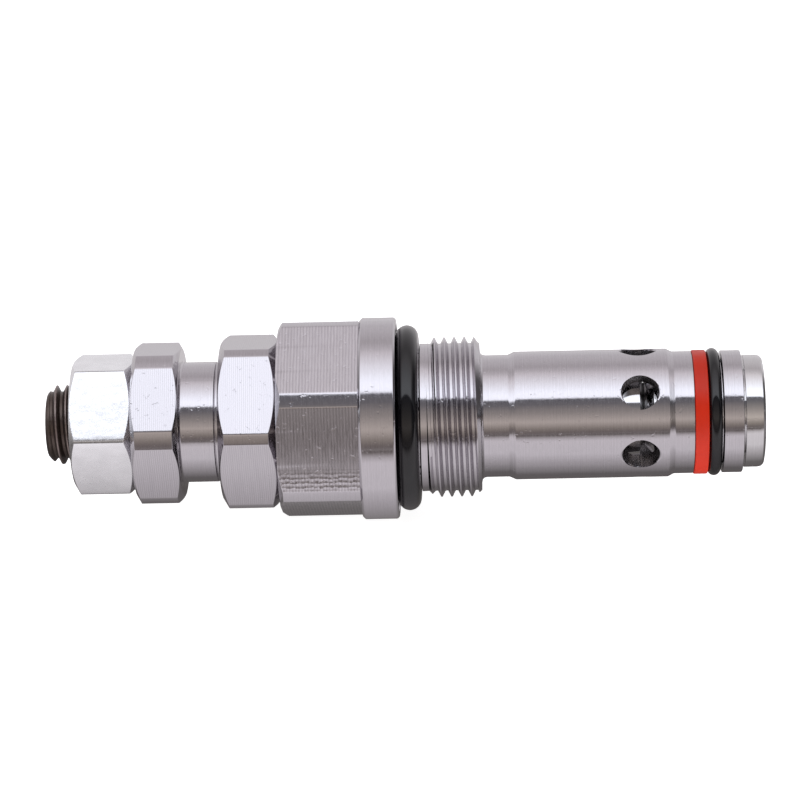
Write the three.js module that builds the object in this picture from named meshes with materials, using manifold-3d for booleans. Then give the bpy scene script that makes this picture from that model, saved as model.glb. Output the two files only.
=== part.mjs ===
// A two-stage, pilot-operated relief valve cartridge that screws into a hydraulic manifold.
//
// Millimetres. The valve's axis is X: the pressure adjusters stand at -X and the inlet nose points to +X.
// +Z is up. The origin is on the axis, in the plane of the collar's face that seats on the manifold.
import * as THREE from "three";
import { mergeVertices } from "three/addons/utils/BufferGeometryUtils.js";
import Module from "manifold-3d";

const wasm = await Module();
wasm.setup();

// ---- Driving dimensions ----------------------------------------------------------------------------------

const PITCH = 1.5; // every thread on the valve is a fine metric one
const THREAD_DEPTH = 0.6134 * PITCH;
const CAVITY_THREAD_RADIUS = 11.925; // M24 x 1.5, into the manifold
const ADJUSTER_THREAD_RADIUS = 8.925; // M18 x 1.5
const SCREW_THREAD_RADIUS = 5.925; // M12 x 1.5

const THREAD_GAP = 0.15; // radial gap round a thread, whose nut is a plain bore
const TURNING_GAP = 0.12; // radial gap of a plain shank that turns in its bore
const SLIDING_GAP = 0.05; // radial gap of a piston or poppet in its bore
const SEAL_GAP = 0.08; // radial gap round a small seal
const FACE_GAP = 0.05; // between faces that bear on each other

// Stations along the axis, each a face of one piece.
const SCREW_END = -52.3;
const SCREW_NUT = { left: -48.3, right: -39.1 };
const ADJUSTER_HEX = { left: -39.05, right: -32.05 };
const LOCK_NUT = { left: -26.2, right: -17.55 };
const BODY_HEX = { left: -17.5, right: -5.46 };
const COLLAR_LAND = { inner: 14, outer: 14.75 }; // the flat ring that seats on the manifold, outside the seal
const SEAL_RECESS = 0.2; // sets the O-ring's seat back from that land
const RUN_IN = { left: 3.4, right: 3.5 }; // the shoulder that keeps the O-ring against the collar
const BODY_THREAD = { left: 4.5, right: 12.4 };
const SLEEVE = { left: 17.5, right: 40.05 };
const NOSE_GROOVE = { left: 43.8, right: 48.1, radius: 7.55 };
const BODY_END = 51.05;
const SEAT_FLANGE = { left: 51.35, right: 54.3 };

// Outside radii.
const COLLAR_RADIUS = 15.05;
const UNDERCUT_RADIUS = 10.35; // under the collar's O-ring
const RUN_IN_RADIUS = 11.05; // between the O-ring and the first turn of thread
const NECK_RADIUS = 9.1;
const SLEEVE_RADIUS = 9.55;
const BARREL_RADIUS = 8.975;
const SEAT_FLANGE_RADIUS = 8.35;

// Hexagons: width across flats, radius that the corners are turned to, radius of the chamfered face, and the
// angle of one flat's normal above the horizontal, in degrees, as the pieces happen to be tightened.
const BODY_HEXAGON = { flats: 27, corner: 15, face: 13.8, angle: 6.1 };
const LOCK_NUT_HEXAGON = { flats: 24, corner: 13.4, face: 11.6, angle: 43.4 };
const ADJUSTER_HEXAGON = { flats: 22.5, corner: 12.25, face: 11, angle: 42.5 };
const SCREW_NUT_HEXAGON = { flats: 19, corner: 10.9, face: 9.2, angle: 40.6 };
const CHAMFER_SLOPE = Math.tan(THREE.MathUtils.degToRad(30)); // a chamfer's depth for each mm of radius

// Tank holes round the sleeve.
const TANK_HOLES = { count: 6, x: 35.85, radius: 2.65, sink: 0.4, angle: 44.3 };

// Bores.
const GUIDE_BORE = 6.25; // main poppet and seat
// The recess that opens the guide bore out to the tank holes.
const HOLE_RECESS = { left: TANK_HOLES.x - 4, right: TANK_HOLES.x + 2.7, radius: 6.95 };
const PILOT_BORE = { left: -10, right: 2, radius: 7.5 };
const SPRING_BORE = 4.2; // pilot spring, in the adjuster
const PISTON_BORE = { left: -32.6, right: -17, radius: 5.05 };
const INLET_RADIUS = 4.5;
const PILOT_HOLE = 1.5; // radius of the hole that the pilot poppet closes

// Seals: the back-up ring's share of the nose groove, and the small O-rings' cords, grooves and stations.
const BACKUP_WIDTH = 2.1;
const SMALL_CORD = 0.93;
const SMALL_GROOVE = 2.4;
const ADJUSTER_GROOVE = -9.2;
const SCREW_GROOVE = -31;

// The pieces inside, by the stations of their end faces.
const MAIN_POPPET = { left: 18.5, right: TANK_HOLES.x + 0.1 };
const MAIN_POCKET = { radius: SPRING_BORE + 0.3, right: MAIN_POPPET.right - 5.4 }; // for the main spring
const PILOT_SEAT = { left: -2.9, right: 8 };
const PILOT_SEAT_GROOVE = PILOT_SEAT.left + 1.2;
const PILOT_FLANGE = { left: -5.3, right: -4.4 }; // the pilot poppet's flange, under the pilot spring
const BOOST_PISTON = { left: -26.95, headEnd: -19.5, spring: -16.9, pinEnd: -14.5 };
const BOOST_GROOVE = BOOST_PISTON.left + 2.4;
const SCREW_TIP = BOOST_PISTON.left - FACE_GAP;
const ADJUSTER_TRAVEL = PITCH; // one turn each way

const OUTER_FACETS = 32; // facets round what shows from outside
const INNER_FACETS = 24; // facets round the bores and the pieces that work in them
const CAVITY_THREAD_FACETS = 24; // facets round the cavity thread
const SCREW_FACETS = 14; // facets round the small threads and plugs
const HOLE_FACETS = 20; // facets round a drilled hole
const CORD_SIDES = 8; // facets round an O-ring's cord
const COIL_STEPS = 10; // steps to each turn of a spring
const MERGE_DISTANCE = 1e-4; // closes the seams of a three.js geometry

// ---- Solids ----------------------------------------------------------------------------------------------

/** A closed three.js geometry as a manifold-3d solid, without the collapsed triangles at a lathe's poles. */
function solidOf(geometry) {
  geometry.deleteAttribute("normal");
  geometry.deleteAttribute("uv");
  const merged = mergeVertices(geometry, MERGE_DISTANCE);
  const corners = merged.index.array;
  const kept = [];
  for (let i = 0; i < corners.length; i += 3) {
    const [a, b, c] = [corners[i], corners[i + 1], corners[i + 2]];
    if (a !== b && b !== c && c !== a) kept.push(a, b, c);
  }
  return new wasm.Manifold(
    new wasm.Mesh({
      numProp: 3,
      vertProperties: merged.attributes.position.array,
      triVerts: new Uint32Array(kept),
    }),
  );
}

/** A solid turned about the valve's axis from [x, radius] points, listed from -X to +X along the outside and
 *  back along the bore, or from axis to axis for a solid piece. */
function turned(points, facets = OUTER_FACETS) {
  const onAxis = points[0][1] === 0 && points.at(-1)[1] === 0;
  const closed = onAxis ? points : [...points, points[0]];
  const outline = closed.map(([x, radius]) => new THREE.Vector2(radius, x));
  const geometry = new THREE.LatheGeometry(outline, facets);
  return solidOf(geometry.rotateZ(-Math.PI / 2));
}

/** Points of an arc in the [x, radius] plane, from one angle to another, in degrees from +X. */
function arc(x, radius, size, from, to, steps) {
  return Array.from({ length: steps + 1 }, (_, i) => {
    const angle = THREE.MathUtils.degToRad(from + ((to - from) * i) / steps);
    return [x + size * Math.cos(angle), radius + size * Math.sin(angle)];
  });
}

/** An O-ring: a round cord of the given radius, turned about the axis. */
function oRing(x, meanRadius, cordRadius, facets = OUTER_FACETS) {
  return turned(arc(x, meanRadius, cordRadius, 180, -180, CORD_SIDES).slice(0, -1), facets);
}

/** A plain hexagonal bar along the axis, with one flat facing `angle` degrees above the -Y direction. */
function hexagonalBar(left, right, { flats, angle }) {
  const corner = flats / 2 / Math.cos(Math.PI / 6);
  const geometry = new THREE.CylinderGeometry(corner, corner, right - left, 6);
  geometry.rotateZ(-Math.PI / 2);
  geometry.rotateX(-THREE.MathUtils.degToRad(angle));
  return solidOf(geometry.translate((left + right) / 2, 0, 0));
}

/** The turned envelope that chamfers a hexagon's two ends and rounds its corners off. */
function chamferedEnvelope(left, right, { corner, face }) {
  const depth = (corner - face) * CHAMFER_SLOPE;
  return turned([
    [left, 0],
    [left, face],
    [left + depth, corner],
    [right - depth, corner],
    [right, face],
    [right, 0],
  ]);
}

/** A hexagonal head or nut blank, chamfered at both ends. */
function hexagon(left, right, shape) {
  return hexagonalBar(left, right, shape).intersect(chamferedEnvelope(left, right, shape));
}

/** What a bore along the axis takes away, from [x, radius] points. */
function bore(points) {
  const first = points[0][0];
  const last = points.at(-1)[0];
  return turned([[first, 0], ...points, [last, 0]], INNER_FACETS);
}

/** A solid bar with a right-hand thread of the given outside radius, longer than the stretch it is cut down
 *  to. The grid's rows follow the helix, so each turn has a crest, two flanks and a root. */
function threadedBar(left, right, radius, facets) {
  const rows = [
    { share: 0, radius },
    { share: 1 / 8, radius },
    { share: 7 / 16, radius: radius - THREAD_DEPTH },
    { share: 11 / 16, radius: radius - THREAD_DEPTH },
  ];
  const turns = Math.ceil((right - left) / PITCH) + 1;
  const rowCount = turns * rows.length;
  const positions = [];
  for (let row = 0; row <= rowCount; row += 1) {
    const along = Math.floor(row / rows.length) + rows[row % rows.length].share;
    for (let column = 0; column < facets; column += 1) {
      const share = column / facets;
      const angle = 2 * Math.PI * share;
      const r = rows[row % rows.length].radius;
      positions.push(left - PITCH + (along + share) * PITCH, r * Math.cos(angle), r * Math.sin(angle));
    }
  }
  // The last column of a row meets the first column of the row one turn further on.
  const at = (row, column) =>
    column < facets ? row * facets + column : (row + rows.length) * facets;
  const lastRow = rowCount - rows.length;
  const corners = [];
  for (let row = 0; row < lastRow; row += 1)
    for (let column = 0; column < facets; column += 1) {
      const [a, b] = [at(row, column), at(row, column + 1)];
      const [c, d] = [at(row + 1, column), at(row + 1, column + 1)];
      corners.push(a, b, c, b, d, c);
    }
  const closeEnd = (row, x, outward) => {
    const centre = positions.length / 3;
    positions.push(x, 0, 0);
    const rim = Array.from({ length: facets + 1 }, (_, column) => at(row, column));
    for (let step = rows.length - 1; step > 0; step -= 1) rim.push(at(row + step, 0));
    rim.forEach((corner, i) => {
      const next = rim[(i + 1) % rim.length];
      corners.push(centre, ...(outward ? [corner, next] : [next, corner]));
    });
  };
  closeEnd(0, left - PITCH, false);
  closeEnd(lastRow, left + (lastRow / rows.length) * PITCH, true);
  const geometry = new THREE.BufferGeometry();
  geometry.setAttribute("position", new THREE.Float32BufferAttribute(positions, 3));
  geometry.setIndex(corners);
  return solidOf(geometry);
}

/** A round pin standing out from the axis, at an angle above the -Y direction, from one radius to another. */
function radialPin(x, angle, from, to, fromRadius, toRadius) {
  const geometry = new THREE.CylinderGeometry(toRadius, fromRadius, to - from, HOLE_FACETS);
  geometry.translate(0, (from + to) / 2, 0);
  geometry.rotateX(THREE.MathUtils.degToRad(180 - angle));
  return solidOf(geometry.translate(x, 0, 0));
}

/** A coil spring between two stations, with its end coils closed up. */
function coilSpring(left, right, meanRadius, wireRadius, activeTurns) {
  const closedTurns = 1;
  const turns = activeTurns + 2 * closedTurns;
  const wire = 2 * wireRadius;
  const room = right - left - wire;
  const openPitch = (room - 2 * closedTurns * wire * 1.05) / activeTurns;
  class Coil extends THREE.Curve {
    getPoint(t) {
      const turn = t * turns;
      const opening = THREE.MathUtils.clamp(turn - closedTurns, 0, activeTurns);
      const x = left + wireRadius + (turn - opening) * wire * 1.05 + opening * openPitch;
      const angle = 2 * Math.PI * turn;
      return new THREE.Vector3(x, meanRadius * Math.sin(angle), meanRadius * Math.cos(angle));
    }
  }
  const section = new THREE.Shape();
  section.absarc(0, 0, wireRadius, 0, 2 * Math.PI);
  const geometry = new THREE.ExtrudeGeometry(section, {
    steps: turns * COIL_STEPS,
    extrudePath: new Coil(),
    curveSegments: 3,
  });
  return solidOf(geometry);
}

// ---- Materials -------------------------------------------------------------------------------------------

const MATERIALS = {
  turnedSteel: new THREE.MeshStandardMaterial({ color: 0xa8a3a3, roughness: 0.3, metalness: 1 }),
  hardenedSteel: new THREE.MeshStandardMaterial({ color: 0x9a9898, roughness: 0.22, metalness: 1 }),
  zincPlate: new THREE.MeshStandardMaterial({ color: 0xd2d3d8, roughness: 0.32, metalness: 1 }),
  blackOxide: new THREE.MeshStandardMaterial({ color: 0x2b2a2b, roughness: 0.45, metalness: 0.8 }),
  nitrile: new THREE.MeshStandardMaterial({ color: 0x17181a, roughness: 0.42, metalness: 0 }),
  backupOrange: new THREE.MeshStandardMaterial({ color: 0xe1421b, roughness: 0.5, metalness: 0 }),
  springSteel: new THREE.MeshStandardMaterial({ color: 0x6d6c6e, roughness: 0.35, metalness: 1 }),
};

// ---- The body and its seals ------------------------------------------------------------------------------

/** The body: hexagon, collar, seal undercut, cavity thread, sleeve and nose, all turned from one bar. */
function bodySolid() {
  const { left, right } = BODY_HEX;
  const chamfer = (BODY_HEXAGON.corner - BODY_HEXAGON.face) * CHAMFER_SLOPE;
  const grooveDepth = 0.35;
  const overlap = 0.6;
  const head = hexagonalBar(left, right, BODY_HEXAGON).intersect(
    turned([
      [left, 0],
      [left, BODY_HEXAGON.face],
      [left + chamfer, BODY_HEXAGON.corner],
      [right - grooveDepth, BODY_HEXAGON.corner],
      [right, BODY_HEXAGON.corner - grooveDepth],
      [right, 0],
    ]),
  );
  const root = CAVITY_THREAD_RADIUS - THREAD_DEPTH - 0.05;
  const fillet = 0.75;
  const collarAndUndercut = turned([
    [right - overlap, 0],
    [right - overlap, BODY_HEXAGON.flats / 2 - overlap],
    [right, BODY_HEXAGON.flats / 2 - overlap],
    [right, COLLAR_RADIUS - 0.4],
    [right + 0.4, COLLAR_RADIUS],
    [COLLAR_LAND.outer - COLLAR_RADIUS, COLLAR_RADIUS],
    [0, COLLAR_LAND.outer],
    [0, COLLAR_LAND.inner],
    [-SEAL_RECESS, COLLAR_LAND.inner],
    [-SEAL_RECESS, UNDERCUT_RADIUS],
    [RUN_IN.left, UNDERCUT_RADIUS],
    [RUN_IN.right, RUN_IN_RADIUS],
    [BODY_THREAD.left + overlap, RUN_IN_RADIUS],
    [BODY_THREAD.left + overlap, 0],
  ]);
  const { left: threadLeft, right: threadRight } = BODY_THREAD;
  const bar = threadedBar(threadLeft, threadRight, CAVITY_THREAD_RADIUS, CAVITY_THREAD_FACETS);
  const thread = bar.intersect(
    turned([
      [BODY_THREAD.left, 0],
      [BODY_THREAD.left, root],
      [BODY_THREAD.left + 0.7, CAVITY_THREAD_RADIUS + 0.1],
      [BODY_THREAD.right - 0.9, CAVITY_THREAD_RADIUS + 0.1],
      [BODY_THREAD.right, root],
      [BODY_THREAD.right, 0],
    ]),
  );
  const sleeve = turned([
    [BODY_THREAD.right - overlap, 0],
    [BODY_THREAD.right - overlap, NECK_RADIUS + fillet],
    ...arc(BODY_THREAD.right + fillet, NECK_RADIUS + fillet, fillet, 180, 270, 4),
    [SLEEVE.left - 1, NECK_RADIUS],
    [SLEEVE.left, SLEEVE_RADIUS],
    [SLEEVE.right, SLEEVE_RADIUS],
    [SLEEVE.right + 0.9, NECK_RADIUS],
    [NOSE_GROOVE.left, NECK_RADIUS],
    [NOSE_GROOVE.left, NOSE_GROOVE.radius],
    [NOSE_GROOVE.right, NOSE_GROOVE.radius],
    [NOSE_GROOVE.right, NECK_RADIUS],
    [BODY_END - 0.2, NECK_RADIUS],
    [BODY_END, NECK_RADIUS - 0.2],
    [BODY_END, 0],
  ]);
  const bores = bore([
    [left - 1, ADJUSTER_THREAD_RADIUS + THREAD_GAP + 0.6],
    [left, ADJUSTER_THREAD_RADIUS + THREAD_GAP + 0.6],
    [left + 0.6, ADJUSTER_THREAD_RADIUS + THREAD_GAP],
    [PILOT_BORE.left, ADJUSTER_THREAD_RADIUS + THREAD_GAP],
    [PILOT_BORE.left, PILOT_BORE.radius],
    [PILOT_BORE.right, PILOT_BORE.radius],
    [PILOT_BORE.right, GUIDE_BORE],
    [HOLE_RECESS.left, GUIDE_BORE],
    [HOLE_RECESS.left, HOLE_RECESS.radius],
    [HOLE_RECESS.right, HOLE_RECESS.radius],
    [HOLE_RECESS.right + 0.7, GUIDE_BORE],
    [BODY_END + 1, GUIDE_BORE],
  ]);
  const solid = head.add(collarAndUndercut).add(thread).add(sleeve).subtract(bores);
  return tankHoles().reduce((cut, hole) => cut.subtract(hole), solid).subtract(drainDrilling());
}

/** The six countersunk tank holes, as solids to cut away. */
function tankHoles() {
  const { count, x, radius, sink, angle } = TANK_HOLES;
  return Array.from({ length: count }, (_, i) => {
    const turn = angle + (360 * i) / count;
    const drill = radialPin(x, turn, GUIDE_BORE - 1, SLEEVE_RADIUS + 1, radius, radius);
    const reach = 0.4 + sink;
    return drill.add(
      radialPin(x, turn, SLEEVE_RADIUS - sink, SLEEVE_RADIUS + 0.4, radius, radius + reach),
    );
  });
}

/** The slanting hole that drains the pilot chamber, past the cavity thread, to the neck on the far side. */
function drainDrilling() {
  const start = new THREE.Vector3(PILOT_BORE.left + 5, 7.2, 0);
  const end = new THREE.Vector3(BODY_THREAD.right + 4.2, 9.55, 0);
  const length = start.distanceTo(end);
  const geometry = new THREE.CylinderGeometry(0.8, 0.8, length, 10);
  geometry.rotateZ(-Math.PI / 2);
  geometry.rotateZ(Math.atan2(end.y - start.y, end.x - start.x));
  const middle = start.add(end).multiplyScalar(0.5);
  return solidOf(geometry.translate(middle.x, middle.y, middle.z));
}

/** The O-ring that seals the manifold's mouth, in the undercut against the collar. */
function collarORingSolid() {
  const cord = 1.73;
  return oRing(cord + FACE_GAP - SEAL_RECESS, UNDERCUT_RADIUS + cord + 0.02, cord);
}

/** The flat back-up ring, on the tank side of the nose groove. */
function noseBackupRingSolid() {
  const left = NOSE_GROOVE.left + FACE_GAP;
  const right = NOSE_GROOVE.left + BACKUP_WIDTH;
  const inner = NOSE_GROOVE.radius + FACE_GAP;
  const outer = 9.25;
  const chamfer = 0.15;
  return turned([
    [left, inner],
    [left, outer - chamfer],
    [left + chamfer, outer],
    [right - chamfer, outer],
    [right, outer - chamfer],
    [right, inner],
  ]);
}

/** The O-ring on the inlet side of the nose groove. */
function noseORingSolid() {
  const cord = 0.95;
  return oRing(NOSE_GROOVE.left + BACKUP_WIDTH + FACE_GAP + cord, NOSE_GROOVE.radius + FACE_GAP + cord, cord);
}

/** The main seat, pressed into the nose: its left end is the seating edge, its flange caps the nose. */
function mainSeatSolid() {
  const left = HOLE_RECESS.right - 1.9; // its edge bears on the main poppet's cone
  const shank = GUIDE_BORE - TURNING_GAP;
  const edge = 0.3;
  const roundness = 0.9;
  const mouth = 1.3;
  const { left: flange, right: end } = SEAT_FLANGE;
  return turned([
    [left, INLET_RADIUS],
    [left, INLET_RADIUS + edge],
    [left + shank - INLET_RADIUS - edge, shank],
    [flange, shank],
    [flange, SEAT_FLANGE_RADIUS],
    ...arc(end - roundness, SEAT_FLANGE_RADIUS - roundness, roundness, 90, 0, 4),
    [end, INLET_RADIUS + mouth],
    [end - mouth, INLET_RADIUS],
  ]);
}

// ---- Main stage ------------------------------------------------------------------------------------------

/** The hollow main poppet: its cone closes on the main seat, and its rear pocket holds the main spring. */
function mainPoppetSolid() {
  const { left, right } = MAIN_POPPET;
  const radius = GUIDE_BORE - SLIDING_GAP;
  const cone = INLET_RADIUS + 0.65;
  const tip = 3.1;
  const hole = 2.05;
  const grooves = [3, 6, 9].flatMap((step) => [
    [left + step, radius],
    [left + step, radius - 0.3],
    [left + step + 0.4, radius - 0.3],
    [left + step + 0.4, radius],
  ]);
  return turned(
    [
      [left, MAIN_POCKET.radius],
      [left, radius - 0.3],
      [left + 0.3, radius],
      ...grooves,
      [right - 0.1, radius],
      [right, radius - 0.1],
      [right, cone],
      [right + cone - tip, tip],
      [right + cone - tip, hole],
      [MAIN_POCKET.right, hole],
      [MAIN_POCKET.right, MAIN_POCKET.radius],
    ],
    INNER_FACETS,
  );
}

/** The screwed insert in the main poppet's tip, whose fine hole feeds the pilot stage. */
function dampingOrificeSolid() {
  const [left, right] = [MAIN_POPPET.right - 3, MAIN_POPPET.right + 1.5];
  const [hole, outside] = [0.5, 2];
  return turned(
    [
      [left, hole],
      [left, outside],
      [right, outside],
      [right, hole],
    ],
    SCREW_FACETS,
  );
}

/** The light spring that holds the main poppet shut. */
function mainSpringSolid() {
  return coilSpring(PILOT_SEAT.right + FACE_GAP, MAIN_POCKET.right - FACE_GAP, 3.4, 0.6, 6);
}

// ---- Pilot stage -----------------------------------------------------------------------------------------

/** The pilot seat: a stepped bush against the body's shoulder, with a seal groove round its flange. */
function pilotSeatSolid() {
  const { left, right } = PILOT_SEAT;
  const shoulder = PILOT_BORE.right - FACE_GAP;
  const flange = PILOT_BORE.radius - SEAL_GAP;
  const shank = 5.5;
  return turned(
    [
      [left, PILOT_HOLE],
      [left, flange],
      [PILOT_SEAT_GROOVE, flange],
      [PILOT_SEAT_GROOVE, shank],
      [PILOT_SEAT_GROOVE + SMALL_GROOVE, shank],
      [PILOT_SEAT_GROOVE + SMALL_GROOVE, flange],
      [shoulder, flange],
      [shoulder, shank],
      [right, shank],
      [right, PILOT_HOLE],
    ],
    INNER_FACETS,
  );
}

/** The pilot poppet: a cone on the pilot seat, a flange under the pilot spring and a stem that guides it. */
function pilotPoppetSolid() {
  const seat = PILOT_SEAT.left;
  const mouth = PILOT_HOLE - 0.04; // radius of the cone in the plane of the seat
  const tip = 0.4;
  const base = 2.9;
  const stem = 1.9;
  const stemEnd = PILOT_FLANGE.left - 3.7;
  const flange = 3.9;
  return turned(
    [
      [stemEnd, 0],
      [stemEnd, stem - 0.4],
      [stemEnd + 0.4, stem],
      [PILOT_FLANGE.left, stem],
      [PILOT_FLANGE.left, flange],
      [PILOT_FLANGE.right, flange],
      [seat - base + mouth, base],
      [seat + mouth - tip, tip],
      [seat + mouth - tip, 0],
    ],
    INNER_FACETS,
  );
}

/** The stiff spring that sets the relief pressure. */
function pilotSpringSolid() {
  return coilSpring(BOOST_PISTON.spring + FACE_GAP, PILOT_FLANGE.left - FACE_GAP, 3.05, 0.75, 4);
}

/** The boost piston: bears on the adjusting screw, pushes the pilot spring, and carries a seal. */
function boostPistonSolid() {
  const head = PISTON_BORE.radius - SLIDING_GAP;
  const { left, headEnd, spring, pinEnd } = BOOST_PISTON;
  const grooveRadius = head - 2 * SMALL_CORD - 0.1;
  const pin = 2;
  return turned(
    [
      [left, 0],
      [left, head - 0.4],
      [left + 0.4, head],
      [BOOST_GROOVE, head],
      [BOOST_GROOVE, grooveRadius],
      [BOOST_GROOVE + SMALL_GROOVE, grooveRadius],
      [BOOST_GROOVE + SMALL_GROOVE, head],
      [headEnd, head],
      [headEnd, SPRING_BORE - 0.3],
      [spring, SPRING_BORE - 0.3],
      [spring, pin],
      [pinEnd, pin],
      [pinEnd, 0],
    ],
    INNER_FACETS,
  );
}

/** A small seal in a groove that starts at `grooveLeft`, filling it out to the bore round it. */
function smallORing(grooveLeft, boreRadius) {
  const meanRadius = boreRadius - SEAL_GAP - SMALL_CORD;
  return oRing(grooveLeft + SMALL_GROOVE / 2, meanRadius, SMALL_CORD, INNER_FACETS);
}

// ---- Adjusters -------------------------------------------------------------------------------------------

/** The outer adjuster: hexagon, barrel, thread into the body, and a sealed nose round the pilot spring. */
function adjusterSolid() {
  const { left, right } = ADJUSTER_HEX;
  const nose = PILOT_BORE.radius - TURNING_GAP;
  const threadEnd = PILOT_BORE.left - 2.5;
  const noseLeft = PILOT_BORE.left - ADJUSTER_TRAVEL - FACE_GAP;
  const relief = 7.9; // radius of the run-out past the thread
  const end = PILOT_SEAT.left - 2.6;
  const runOut = 0.15;
  const grooveRadius = 5.5;
  const shank = turned([
    [right - 0.5, 0],
    [right - 0.5, BARREL_RADIUS],
    [LOCK_NUT.left - 0.45, BARREL_RADIUS],
    [LOCK_NUT.left - 0.25, BARREL_RADIUS - runOut],
    [LOCK_NUT.left - 0.1, BARREL_RADIUS - runOut],
    [LOCK_NUT.left, ADJUSTER_THREAD_RADIUS],
    [threadEnd, ADJUSTER_THREAD_RADIUS],
    [threadEnd, relief],
    [noseLeft, relief],
    [noseLeft, nose],
    [ADJUSTER_GROOVE, nose],
    [ADJUSTER_GROOVE, grooveRadius],
    [ADJUSTER_GROOVE + SMALL_GROOVE, grooveRadius],
    [ADJUSTER_GROOVE + SMALL_GROOVE, nose],
    [end - 0.4, nose],
    [end, nose - 0.4],
    [end, 0],
  ]);
  const threadBore = SCREW_THREAD_RADIUS + THREAD_GAP;
  const bores = bore([
    [left - 1, threadBore + 0.5],
    [left, threadBore + 0.5],
    [left + 0.5, threadBore],
    [PISTON_BORE.left, threadBore],
    [PISTON_BORE.left, PISTON_BORE.radius],
    [PISTON_BORE.right, PISTON_BORE.radius],
    [PISTON_BORE.right, SPRING_BORE],
    [end + 1, SPRING_BORE],
  ]);
  return hexagon(left, right, ADJUSTER_HEXAGON).add(shank).subtract(bores);
}

/** The inner adjusting screw: threaded shank with a hexagon socket, and a plain sealed end. */
function adjustingScrewSolid() {
  const threadEnd = -33;
  const radius = SCREW_THREAD_RADIUS;
  const plain = PISTON_BORE.radius - TURNING_GAP;
  const grooveRadius = PISTON_BORE.radius - 2 * SMALL_CORD - 0.15;
  const socket = { flats: 6, depth: 6, angle: 10 };
  const overlap = 0.5;
  const thread = threadedBar(SCREW_END, threadEnd, radius, SCREW_FACETS).intersect(
    turned([
      [SCREW_END, 0],
      [SCREW_END, 4.7],
      [SCREW_END + 1.2, radius + 0.05],
      [threadEnd - 0.9, radius + 0.05],
      [threadEnd, radius - THREAD_DEPTH],
      [threadEnd, 0],
    ]),
  );
  const end = turned([
    [threadEnd - overlap, 0],
    [threadEnd - overlap, 4.6],
    [threadEnd, 4.6],
    [threadEnd, plain],
    [SCREW_GROOVE, plain],
    [SCREW_GROOVE, grooveRadius],
    [SCREW_GROOVE + SMALL_GROOVE, grooveRadius],
    [SCREW_GROOVE + SMALL_GROOVE, plain],
    [SCREW_TIP - 0.3, plain],
    [SCREW_TIP, plain - 0.3],
    [SCREW_TIP, 0],
  ]);
  const mouth = turned([
    [SCREW_END - 0.5, 0],
    [SCREW_END - 0.5, socket.flats / 2 + 1.1],
    [SCREW_END + 0.5, socket.flats / 2 + 0.1],
    [SCREW_END + 0.5, 0],
  ]);
  return thread
    .add(end)
    .subtract(hexagonalBar(SCREW_END - 1, SCREW_END + socket.depth, socket))
    .subtract(mouth);
}

/** A hexagon nut blank with a chamfered plain bore. */
function nutSolid({ left, right }, shape, threadRadius) {
  const radius = threadRadius + THREAD_GAP;
  const mouth = 0.6;
  return hexagon(left, right, shape).subtract(
    bore([
      [left - 1, radius + mouth],
      [left, radius + mouth],
      [left + mouth, radius],
      [right - mouth, radius],
      [right, radius + mouth],
      [right + 1, radius + mouth],
    ]),
  );
}

/** The machined nut that locks the outer adjuster against the body. */
function lockNutSolid() {
  return nutSolid(LOCK_NUT, LOCK_NUT_HEXAGON, ADJUSTER_THREAD_RADIUS);
}

/** The plated nut that locks the adjusting screw against the outer adjuster. */
function screwNutSolid() {
  return nutSolid(SCREW_NUT, SCREW_NUT_HEXAGON, SCREW_THREAD_RADIUS);
}

// ---- The assembly ----------------------------------------------------------------------------------------

/** One named mesh made from a manifold-3d solid. */
function meshOf(name, solid, material) {
  const { vertProperties, triVerts, numProp, numVert } = solid.getMesh();
  const positions = new Float32Array(numVert * 3);
  for (let i = 0; i < numVert; i += 1)
    positions.set(vertProperties.subarray(i * numProp, i * numProp + 3), i * 3);
  const geometry = new THREE.BufferGeometry();
  geometry.setAttribute("position", new THREE.BufferAttribute(positions, 3));
  geometry.setIndex(new THREE.BufferAttribute(triVerts, 1));
  const mesh = new THREE.Mesh(geometry, material);
  mesh.name = name;
  return mesh;
}

const valve = new THREE.Group();
valve.name = "relief_valve_cartridge";
valve.add(
  meshOf("valve_body", bodySolid(), MATERIALS.turnedSteel),
  meshOf("collar_o_ring", collarORingSolid(), MATERIALS.nitrile),
  meshOf("nose_backup_ring", noseBackupRingSolid(), MATERIALS.backupOrange),
  meshOf("nose_o_ring", noseORingSolid(), MATERIALS.nitrile),
  meshOf("main_seat", mainSeatSolid(), MATERIALS.hardenedSteel),
  meshOf("main_poppet", mainPoppetSolid(), MATERIALS.hardenedSteel),
  meshOf("damping_orifice", dampingOrificeSolid(), MATERIALS.hardenedSteel),
  meshOf("main_spring", mainSpringSolid(), MATERIALS.springSteel),
  meshOf("pilot_seat", pilotSeatSolid(), MATERIALS.hardenedSteel),
  meshOf("pilot_seat_o_ring", smallORing(PILOT_SEAT_GROOVE, PILOT_BORE.radius), MATERIALS.nitrile),
  meshOf("pilot_poppet", pilotPoppetSolid(), MATERIALS.hardenedSteel),
  meshOf("pilot_spring", pilotSpringSolid(), MATERIALS.springSteel),
  meshOf("boost_piston", boostPistonSolid(), MATERIALS.hardenedSteel),
  meshOf("boost_piston_o_ring", smallORing(BOOST_GROOVE, PISTON_BORE.radius), MATERIALS.nitrile),
  meshOf("adjuster", adjusterSolid(), MATERIALS.turnedSteel),
  meshOf("adjuster_o_ring", smallORing(ADJUSTER_GROOVE, PILOT_BORE.radius), MATERIALS.nitrile),
  meshOf("adjuster_lock_nut", lockNutSolid(), MATERIALS.turnedSteel),
  meshOf("adjusting_screw", adjustingScrewSolid(), MATERIALS.blackOxide),
  meshOf("adjusting_screw_o_ring", smallORing(SCREW_GROOVE, PISTON_BORE.radius), MATERIALS.nitrile),
  meshOf("screw_lock_nut", screwNutSolid(), MATERIALS.zincPlate),
);

export default valve;
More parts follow.
